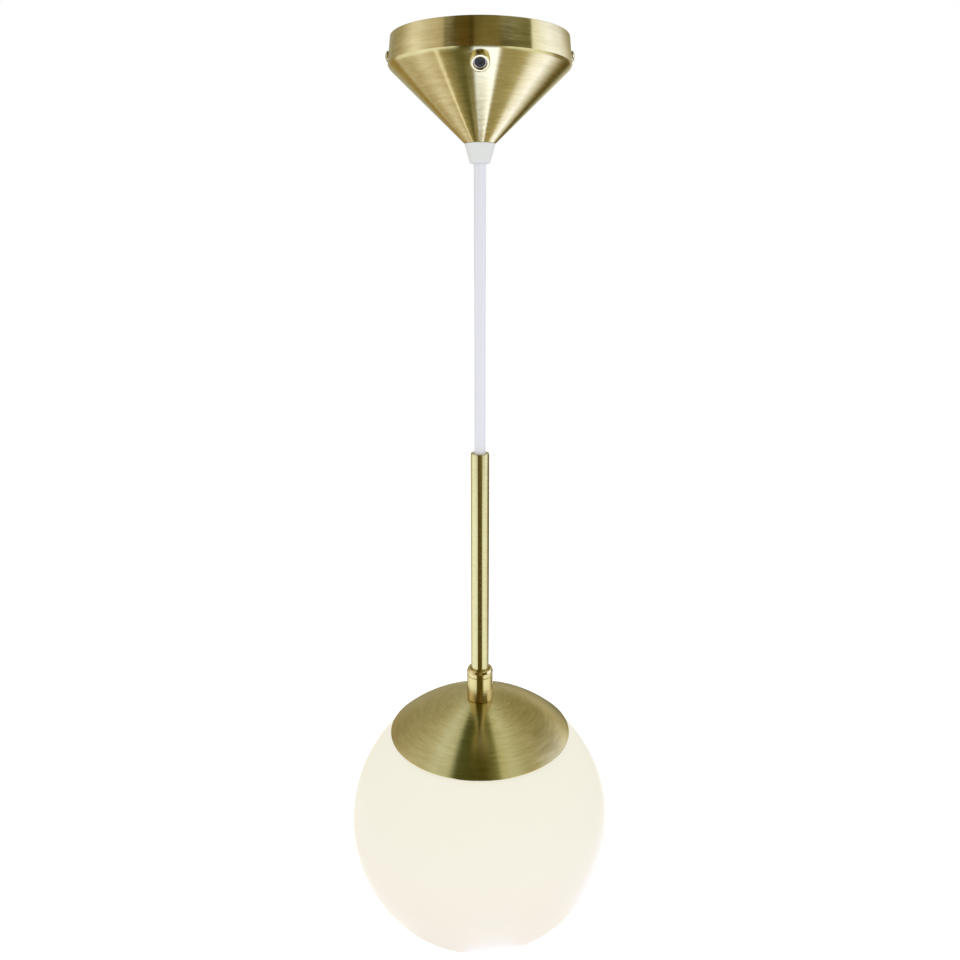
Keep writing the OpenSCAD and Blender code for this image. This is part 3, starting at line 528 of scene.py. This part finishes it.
# ---- Gland ----
# A tapered collar of matt white nylon that screws through the canopy's seat and clamps the flex. Its lip
# is rounded where the flex comes out.
GLAND_TIP_R = 0.0055
GLAND_STEM_R = 0.005
GLAND_BORE_TOP_Z = SEAT_Z + 0.009
FLEX_BORE_R = FLEX_D / 2 + 0.00005
gland = revolved("gland_collar", rounded([
    (SEAT_R - 0.0001, SEAT_Z, 0.0004),
    (GLAND_TIP_R + 0.0009, GLAND_TIP_Z + 0.002, 0.001),
    (GLAND_TIP_R + 0.0004, GLAND_TIP_Z + 0.0001, 0.0006),
    (GLAND_TIP_R - 0.0008, GLAND_TIP_Z, 0.0004),
    (FLEX_BORE_R, GLAND_TIP_Z + 0.0004, 0.0003),
    (FLEX_BORE_R, GLAND_BORE_TOP_Z, 0.0003),
    (GLAND_STEM_R, GLAND_BORE_TOP_Z, 0.0004),
    (GLAND_STEM_R, SEAT_Z, 0),
]), 128, 30)
fit(gland, "ceiling", "white_nylon", nylon, "gland")

# ---- Tube ----
# A slim brass tube, brushed round and lacquered. A white bush in its mouth keeps the flex off its edge,
# and a hollow threaded nipple screws into its lower end.
TUBE_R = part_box("tube")[1].x
TUBE_TOP_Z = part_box("tube")[1].z
TUBE_END_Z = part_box("tube")[0].z
TUBE_BORE_R = 0.0046
NIPPLE_R = 0.005
SOCKET_BORE_R = NIPPLE_R + 0.00003
NIPPLE_TOP_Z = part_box("nipple")[1].z
tube = revolved("tube_body", rounded([
    (TUBE_BORE_R, TUBE_TOP_Z, 0.0005),
    (TUBE_R, TUBE_TOP_Z, 0.0004),
    (TUBE_R, TUBE_END_Z, 0),
    (SOCKET_BORE_R, TUBE_END_Z, 0),
    (SOCKET_BORE_R, NIPPLE_TOP_Z + 0.001, 0),
    (TUBE_BORE_R, NIPPLE_TOP_Z + 0.0018, 0),
]), 128, 30)
tube_brass = brushed("tube_brass", (0.70, 0.62, 0.34), (0.60, 0.52, 0.26), 0.17, 0.9, 1100.0, 0.000003)
fit(tube, "pendant", "polished_brass", tube_brass, "tube")
repaint(zinc, "nipple", "nipple_washer", "nipple_nut", "holder_bracket", "lamp_earth_screw", "holder_screws")

# ---- Lock ring and collar ----
# Two turned brass rings on the tube's foot. The lock ring's shoulder is rolled over, and a fine groove
# shows where it meets the collar, which sits on the cap.
COLLAR_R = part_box("collar")[1].x
COLLAR_TOP_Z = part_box("collar")[1].z
CAP_SEAT_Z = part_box("collar")[0].z
RING_TOP_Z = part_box("lock_ring")[1].z
RING_BORE_R = TUBE_R + 0.00005
ring_brass = brushed("ring_brass", (0.72, 0.60, 0.29), (0.62, 0.50, 0.22), 0.17, 0.6, 1500.0, 0.000002)
lock_ring = revolved("lock_ring_body", rounded([
    (RING_BORE_R, RING_TOP_Z - 0.0003, 0.0002),
    (TUBE_R + 0.0006, RING_TOP_Z, 0.0003),
    (COLLAR_R - 0.0008, RING_TOP_Z, 0.0008),
    (COLLAR_R, RING_TOP_Z - 0.0021, 0.0014),
    (COLLAR_R, COLLAR_TOP_Z + 0.0003, 0.0001),
    (COLLAR_R - 0.0004, COLLAR_TOP_Z, 0.0001),
    (RING_BORE_R, COLLAR_TOP_Z, 0),
]), 128, 30)
collar = revolved("collar_body", rounded([
    (RING_BORE_R, COLLAR_TOP_Z, 0),
    (COLLAR_R - 0.0004, COLLAR_TOP_Z, 0.0001),
    (COLLAR_R, COLLAR_TOP_Z - 0.0003, 0.0001),
    (COLLAR_R, CAP_SEAT_Z + 0.0005, 0.0003),
    (COLLAR_R - 0.0005, CAP_SEAT_Z, 0.0001),
    (RING_BORE_R, CAP_SEAT_Z, 0),
]), 128, 30)
fit(lock_ring, "pendant", "polished_brass", ring_brass, "lock_ring")
fit(collar, "pendant", "polished_brass", ring_brass, "collar")

# ---- Domed cap ----
# Spun brass like the canopy, a shallow part of a ball that follows the globe 2 mm above it. Its edge is
# cut square with the burr taken off. A thin fibre washer lies under its top.
GLASS_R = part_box("globe_glass")[1].x
GLOBE_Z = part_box("globe_glass")[0].z + GLASS_R
CAP_EDGE_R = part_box("cap_dome")[1].x
CAP_BALL_R = GLASS_R + 0.002
CAP_WALL = 0.0012
CAP_SEAT_R = COLLAR_R + 0.0002
CAP_HOLE_R = 0.0052


def ball_arc(ball_r, first_r, last_r, steps, centre_z):
    """Points (r, z) on the upper half of a ball, at even angles between two distances from the axis."""
    angle = np.linspace(math.asin(first_r / ball_r), math.asin(last_r / ball_r), steps)
    return np.stack([ball_r * np.sin(angle), centre_z + ball_r * np.cos(angle)], -1)


edge_out = ball_arc(CAP_BALL_R, CAP_SEAT_R, CAP_EDGE_R - 0.0002, 40, GLOBE_Z)
edge_in_r = (CAP_EDGE_R - 0.0001) * (CAP_BALL_R - CAP_WALL) / CAP_BALL_R
edge_in = ball_arc(CAP_BALL_R - CAP_WALL, CAP_SEAT_R, edge_in_r - 0.0002, 40, GLOBE_Z)[::-1]
edge_mid = ball_arc(CAP_BALL_R - 0.0003, CAP_EDGE_R - 0.0005, CAP_EDGE_R - 0.0002, 2, GLOBE_Z)[1:]
cap_outline = np.concatenate([
    [[CAP_HOLE_R, CAP_SEAT_Z]],
    edge_out,
    edge_mid,
    edge_in,
    [[CAP_HOLE_R, CAP_SEAT_Z - CAP_WALL]],
])
cap_brass = brushed("cap_brass", BRASS_LIGHT, BRASS_DARK, 0.21, 0.96, 620.0, 0.000040)
cap = revolved("cap_shell", cap_outline, 256, 30)
fit(cap, "pendant", "satin_brass", cap_brass, "cap_dome")
fibre = moulded("pressed_fibre", (0.34, 0.25, 0.17), (0.20, 0.14, 0.09), 0.75, 1600.0, 0.00004)
repaint(fibre, "cap_washer")

# ---- Globe carrier ----
# A pressed steel cup under the cap, powder coated white. Its skirt is the thread that the globe's ring
# screws on, and its flange presses the globe's silicone seal.
powder_coat = moulded("powder_coat", (0.80, 0.80, 0.78), (0.72, 0.72, 0.70), 0.45, 1100.0, 0.00004)
seal_rubber = moulded("silicone", (0.80, 0.80, 0.78), (0.70, 0.70, 0.68), 0.38, 500.0, 0.00001)
repaint(powder_coat, "globe_carrier")
repaint(seal_rubber, "globe_seal")

# ---- Lampholder ----
# A two-pin holder of fired steatite in a steel stirrup, with bronze contacts and two small screws.
steatite = moulded("steatite", (0.80, 0.77, 0.68), (0.70, 0.66, 0.57), 0.62, 1300.0, 0.00003)
bronze = moulded("phosphor_bronze", (0.66, 0.38, 0.18), (0.50, 0.27, 0.12), 0.3, 900.0, 0.00001, Metallic=1.0)
repaint(steatite, "lampholder", "lamp_base")
repaint(bronze, "holder_contacts")

# ---- Lamp ----
# A push-in lamp: a frosted cover over a strip of yellow light-emitting chips, a ceramic foot and two
# nickel pins. It glows warm white.
frosted, frosted_tree, frosted_in = blank("frosted_cover", Emission_Strength=2.2)
frosted_place = node(frosted_tree, "TexCoord").outputs["Object"]
frosted_grain = put_group(frosted_tree, grain, Vector=frosted_place, Per_Metre=1800.0)
wire_up(
    frosted_tree,
    frosted_in,
    blend_colours(frosted_tree, frosted_grain["Drift"], (0.84, 0.80, 0.72, 1), (0.93, 0.91, 0.86, 1)),
    spread(frosted_tree, frosted_grain["Fine"], 0.45, 0.6),
    frosted_grain["Fine"],
    0.00002,
)
frosted_glow = blend_colours(frosted_tree, frosted_grain["Drift"], (1.0, 0.86, 0.66, 1), (1.0, 0.92, 0.78, 1))
frosted_tree.links.new(frosted_glow, frosted_in["Emission Color"])
repaint(frosted, "lamp_capsule")
chips = moulded("chip_strip", (0.92, 0.80, 0.36), (0.82, 0.76, 0.55), 0.5, 800.0, 0.00003)
nickel = moulded("nickel_wire", (0.72, 0.70, 0.66), (0.58, 0.56, 0.52), 0.25, 900.0, 0.000005, Metallic=1.0)
repaint(chips, "lamp_board")
repaint(nickel, "lamp_pins")

# ---- Globe ----
# Blown opal glass, 3 mm thick, white through. The lamp's light through it is painted on as the glass's own
# warm cream glow (emission), palest near the lamp's height. A turned aluminium ring is bonded in its mouth,
# with a wire clip under the glass.
GLASS_WALL = 0.003
MOUTH_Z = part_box("globe_glass")[1].z
mouth_r = math.sqrt((GLASS_R - GLASS_WALL) ** 2 - (MOUTH_Z - GLOBE_Z) ** 2)


def ball_profile(ball_r, mouth, steps):
    """Points (r, z) down a ball from its mouth's radius to its lowest point, at even angles."""
    angle = np.linspace(math.asin(mouth / ball_r), math.pi, steps)
    return np.stack([ball_r * np.sin(angle), GLOBE_Z + ball_r * np.cos(angle)], -1)


outer_mouth_r = math.sqrt(GLASS_R**2 - (MOUTH_Z - GLOBE_Z) ** 2)
globe_outline = np.concatenate([
    ball_profile(GLASS_R, outer_mouth_r, 128),
    ball_profile(GLASS_R - GLASS_WALL, mouth_r, 110)[::-1],
])
globe_outline[:, 0] = np.maximum(globe_outline[:, 0], 0)
globe_outline[np.abs(globe_outline[:, 0]) < 1e-6, 0] = 0
globe = revolved("opal_globe", globe_outline, 192, 40)
# The glass glows by its own emission: painted light standing in for the lamp inside shining through it.
opal, opal_tree, opal_in = blank("opal_glass", Emission_Strength=0.65, Specular_IOR_Level=0.02)
opal_place = node(opal_tree, "TexCoord").outputs["Object"]
opal_drift = put_group(opal_tree, grain, Vector=opal_place, Per_Metre=130.0)
wire_up(
    opal_tree,
    opal_in,
    blend_colours(opal_tree, opal_drift["Drift"], (0.27, 0.27, 0.235, 1), (0.29, 0.29, 0.255, 1)),
    spread(opal_tree, opal_drift["Fine"], 0.26, 0.34),
    opal_drift["Drift"],
    0.00002,
)
# Painted glow: the emission's tint shifts with height over the globe.
opal_z = node(opal_tree, "SeparateXYZ", None, Vector=opal_place).outputs[2]
painted_glow_by_height = node(
    opal_tree,
    "MapRange",
    {"interpolation_type": "SMOOTHSTEP"},
    Value=opal_z,
    From_Min=GLOBE_Z - GLASS_R,
    From_Max=GLOBE_Z + GLASS_R * 0.7,
).outputs[0]
opal_tree.links.new(
    blend_colours(opal_tree, painted_glow_by_height, (0.985, 0.87, 0.79, 1), (1.0, 0.95, 0.80, 1)), opal_in["Emission Color"]
)
fit(globe, "globe", "opal_glass", opal, "globe_glass")
turned_aluminium = brushed(
    "turned_aluminium", (0.78, 0.78, 0.79), (0.66, 0.66, 0.67), 0.3, 0.6, 1600.0, 0.00001
)
repaint(turned_aluminium, "glass_ring")
repaint(zinc, "glass_clip")

# ---- Floor and studio light ----
# A plain pale floor far below, and a white room whose walls hold soft strips and dark cards. A strip is
# seen in the brass as a wedge, so each height of the room has its own strips, by their angle.
FLOOR_Z = -1.6
FLOOR_HALF = 40.0
floor_mesh = bpy.data.meshes.new("floor")
floor_grid = np.array([(-1, -1), (1, -1), (1, 1), (-1, 1)]) * FLOOR_HALF
floor_mesh.from_pydata([(x, y, FLOOR_Z) for x, y in floor_grid], [], [(0, 1, 2, 3)])
floor = bpy.data.objects.new("floor", floor_mesh)
scene.collection.objects.link(floor)
pale, pale_tree, pale_in = blank("pale_floor", Roughness=0.9, Emission_Strength=0.62)
pale_in["Base Color"].default_value = (0.8, 0.8, 0.8, 1)
pale_in["Emission Color"].default_value = (1, 1, 1, 1)
floor_mesh.materials.append(pale)
floor.visible_diffuse = False
floor.visible_glossy = False
floor.visible_shadow = False

world = bpy.data.worlds.new("studio")
scene.world = world
world.use_nodes = True
air = world.node_tree
room = node(air, "TexCoord").outputs["Generated"]
way = node(air, "SeparateXYZ", None, Vector=room).outputs
side = calc(air, "ARCTAN2", way[0], calc(air, "SUBTRACT", 1.0, way[1]))
angle_share = calc(air, "ADD", calc(air, "DIVIDE", side, math.pi), 0.5)


def strips(*stops):
    """The room's light by angle, from -90 degrees on the left to 90 on the right: straight changes
    between the stops (angle, red, green, blue)."""
    ramp = node(air, "ValToRGB", None, Fac=angle_share)
    points = ramp.color_ramp.elements
    while len(points) < len(stops):
        points.new(0.5)
    for point, (angle, *colour) in zip(points, stops):
        point.position = (angle + 90) / 180
        point.color = (*colour, 1)
    return ramp.outputs[0]


def rises(height, low, high):
    """0 where the height is below the first value, 1 above the second, smooth between."""
    smooth = {"interpolation_type": "SMOOTHSTEP"}
    return node(air, "MapRange", smooth, Value=height, From_Min=low, From_Max=high).outputs[0]


underfoot = strips(
    (-90, 0.60, 0.70, 0.82), (-80, 0.58, 0.66, 0.72), (-76, 0.60, 0.37, 0.13), (-69, 0.52, 0.33, 0.12),
    (-61, 0.53, 0.44, 0.27), (-52, 0.62, 0.55, 0.40), (-46, 0.84, 0.78, 0.72), (-41, 0.97, 0.93, 1.00),
    (-35, 0.86, 0.80, 0.76), (-29.5, 0.72, 0.66, 0.56), (-28.5, 1.50, 1.50, 1.60), (-27, 1.40, 1.40, 1.50),
    (-26, 0.50, 0.44, 0.25), (-15, 0.17, 0.165, 0.065), (-5, 0.16, 0.16, 0.065), (-3, 2.05, 2.40, 4.10),
    (11, 2.10, 2.45, 4.20), (13.5, 0.46, 0.42, 0.26), (24, 0.48, 0.44, 0.27), (31, 0.62, 0.58, 0.40),
    (38, 1.40, 1.50, 2.10), (48, 1.80, 2.00, 3.30), (57, 1.05, 1.10, 1.30), (67, 0.36, 0.29, 0.10),
    (73, 0.30, 0.24, 0.08), (80, 0.78, 0.88, 1.00), (90, 0.65, 0.78, 0.92),
)
low_walls = strips(
    (-90, 0.46, 0.48, 0.38), (-79, 0.46, 0.48, 0.38), (-75, 0.46, 0.36, 0.16), (-66, 0.40, 0.30, 0.11),
    (-60, 0.98, 1.02, 0.98), (-40, 1.28, 1.42, 1.65), (-16, 1.15, 1.25, 1.35), (-12, 0.11, 0.09, 0.015),
    (9, 0.10, 0.075, 0.01), (13, 0.60, 0.56, 0.35), (18, 1.28, 1.42, 1.60), (42, 1.15, 1.22, 1.25),
    (54, 0.30, 0.25, 0.10), (72, 0.12, 0.09, 0.02), (80, 0.38, 0.37, 0.26), (90, 0.44, 0.44, 0.34),
)
walls = strips(
    (-90, 0.52, 0.47, 0.32), (-66, 0.42, 0.37, 0.25), (-56, 0.62, 0.56, 0.43), (-45, 1.18, 1.16, 1.30),
    (-40, 1.12, 1.12, 1.25), (-33, 0.88, 0.82, 0.86), (-28, 0.76, 0.68, 0.60), (-22.5, 0.58, 0.50, 0.38),
    (-21.5, 0.14, 0.10, 0.03), (-15, 0.13, 0.09, 0.02), (-13, 0.17, 0.11, 0.03), (-7, 0.16, 0.10, 0.03),
    (-6, 0.10, 0.065, 0.01), (-4, 0.10, 0.065, 0.01), (-3, 0.26, 0.20, 0.08), (3, 0.33, 0.28, 0.12),
    (11, 0.26, 0.20, 0.07), (12.5, 0.09, 0.07, 0.008), (18.5, 0.07, 0.06, 0.005), (19.5, 0.13, 0.115, 0.02),
    (32, 0.15, 0.145, 0.03), (33, 1.32, 1.42, 1.75), (46, 1.65, 1.85, 3.00), (57, 1.50, 1.65, 2.40),
    (64, 1.20, 1.25, 1.45), (72, 0.70, 0.66, 0.50), (90, 0.60, 0.55, 0.38),
)
overhead = strips(
    (-90, 0.40, 0.40, 0.28), (-50, 0.50, 0.48, 0.37), (-36, 0.64, 0.65, 0.54), (-28, 0.82, 0.90, 0.98),
    (-19, 0.74, 0.79, 0.72), (-15, 0.10, 0.12, 0.04), (-6, 0.09, 0.10, 0.03), (3, 0.08, 0.07, 0.01),
    (7, 0.16, 0.16, 0.06), (11, 0.25, 0.28, 0.13), (13, 0.72, 0.74, 0.58), (20, 0.80, 0.86, 0.82),
    (35, 0.52, 0.50, 0.35), (50, 0.38, 0.35, 0.20), (90, 0.34, 0.31, 0.18),
)
# Towards the back the floor's zone reaches up and the ceiling's zone reaches down.
lift = calc(air, "MULTIPLY", calc(air, "MAXIMUM", way[1], 0.0), 0.40)
lower = blend_colours(air, rises(calc(air, "SUBTRACT", way[2], lift), -0.76, -0.66), underfoot, low_walls)
middle = blend_colours(air, rises(way[2], -0.15, 0.02), lower, walls)
light = blend_colours(air, rises(calc(air, "ADD", way[2], lift), 0.55, 0.60), middle, overhead)

# Matt pieces are lit by soft neutral light that is stronger from the front.
soft = calc(air, "SUBTRACT", 0.83, calc(air, "MULTIPLY", way[1], 0.20))
soft_light = node(air, "CombineXYZ", None, X=soft, Y=soft, Z=soft).outputs[0]
ray = node(air, "LightPath").outputs
falls = blend_colours(air, ray["Is Diffuse Ray"], light, soft_light)
backdrop = blend_colours(air, ray["Is Camera Ray"], falls, (1.0, 1.0, 1.0, 1))
air.links.new(backdrop, air.nodes["Background"].inputs["Color"])
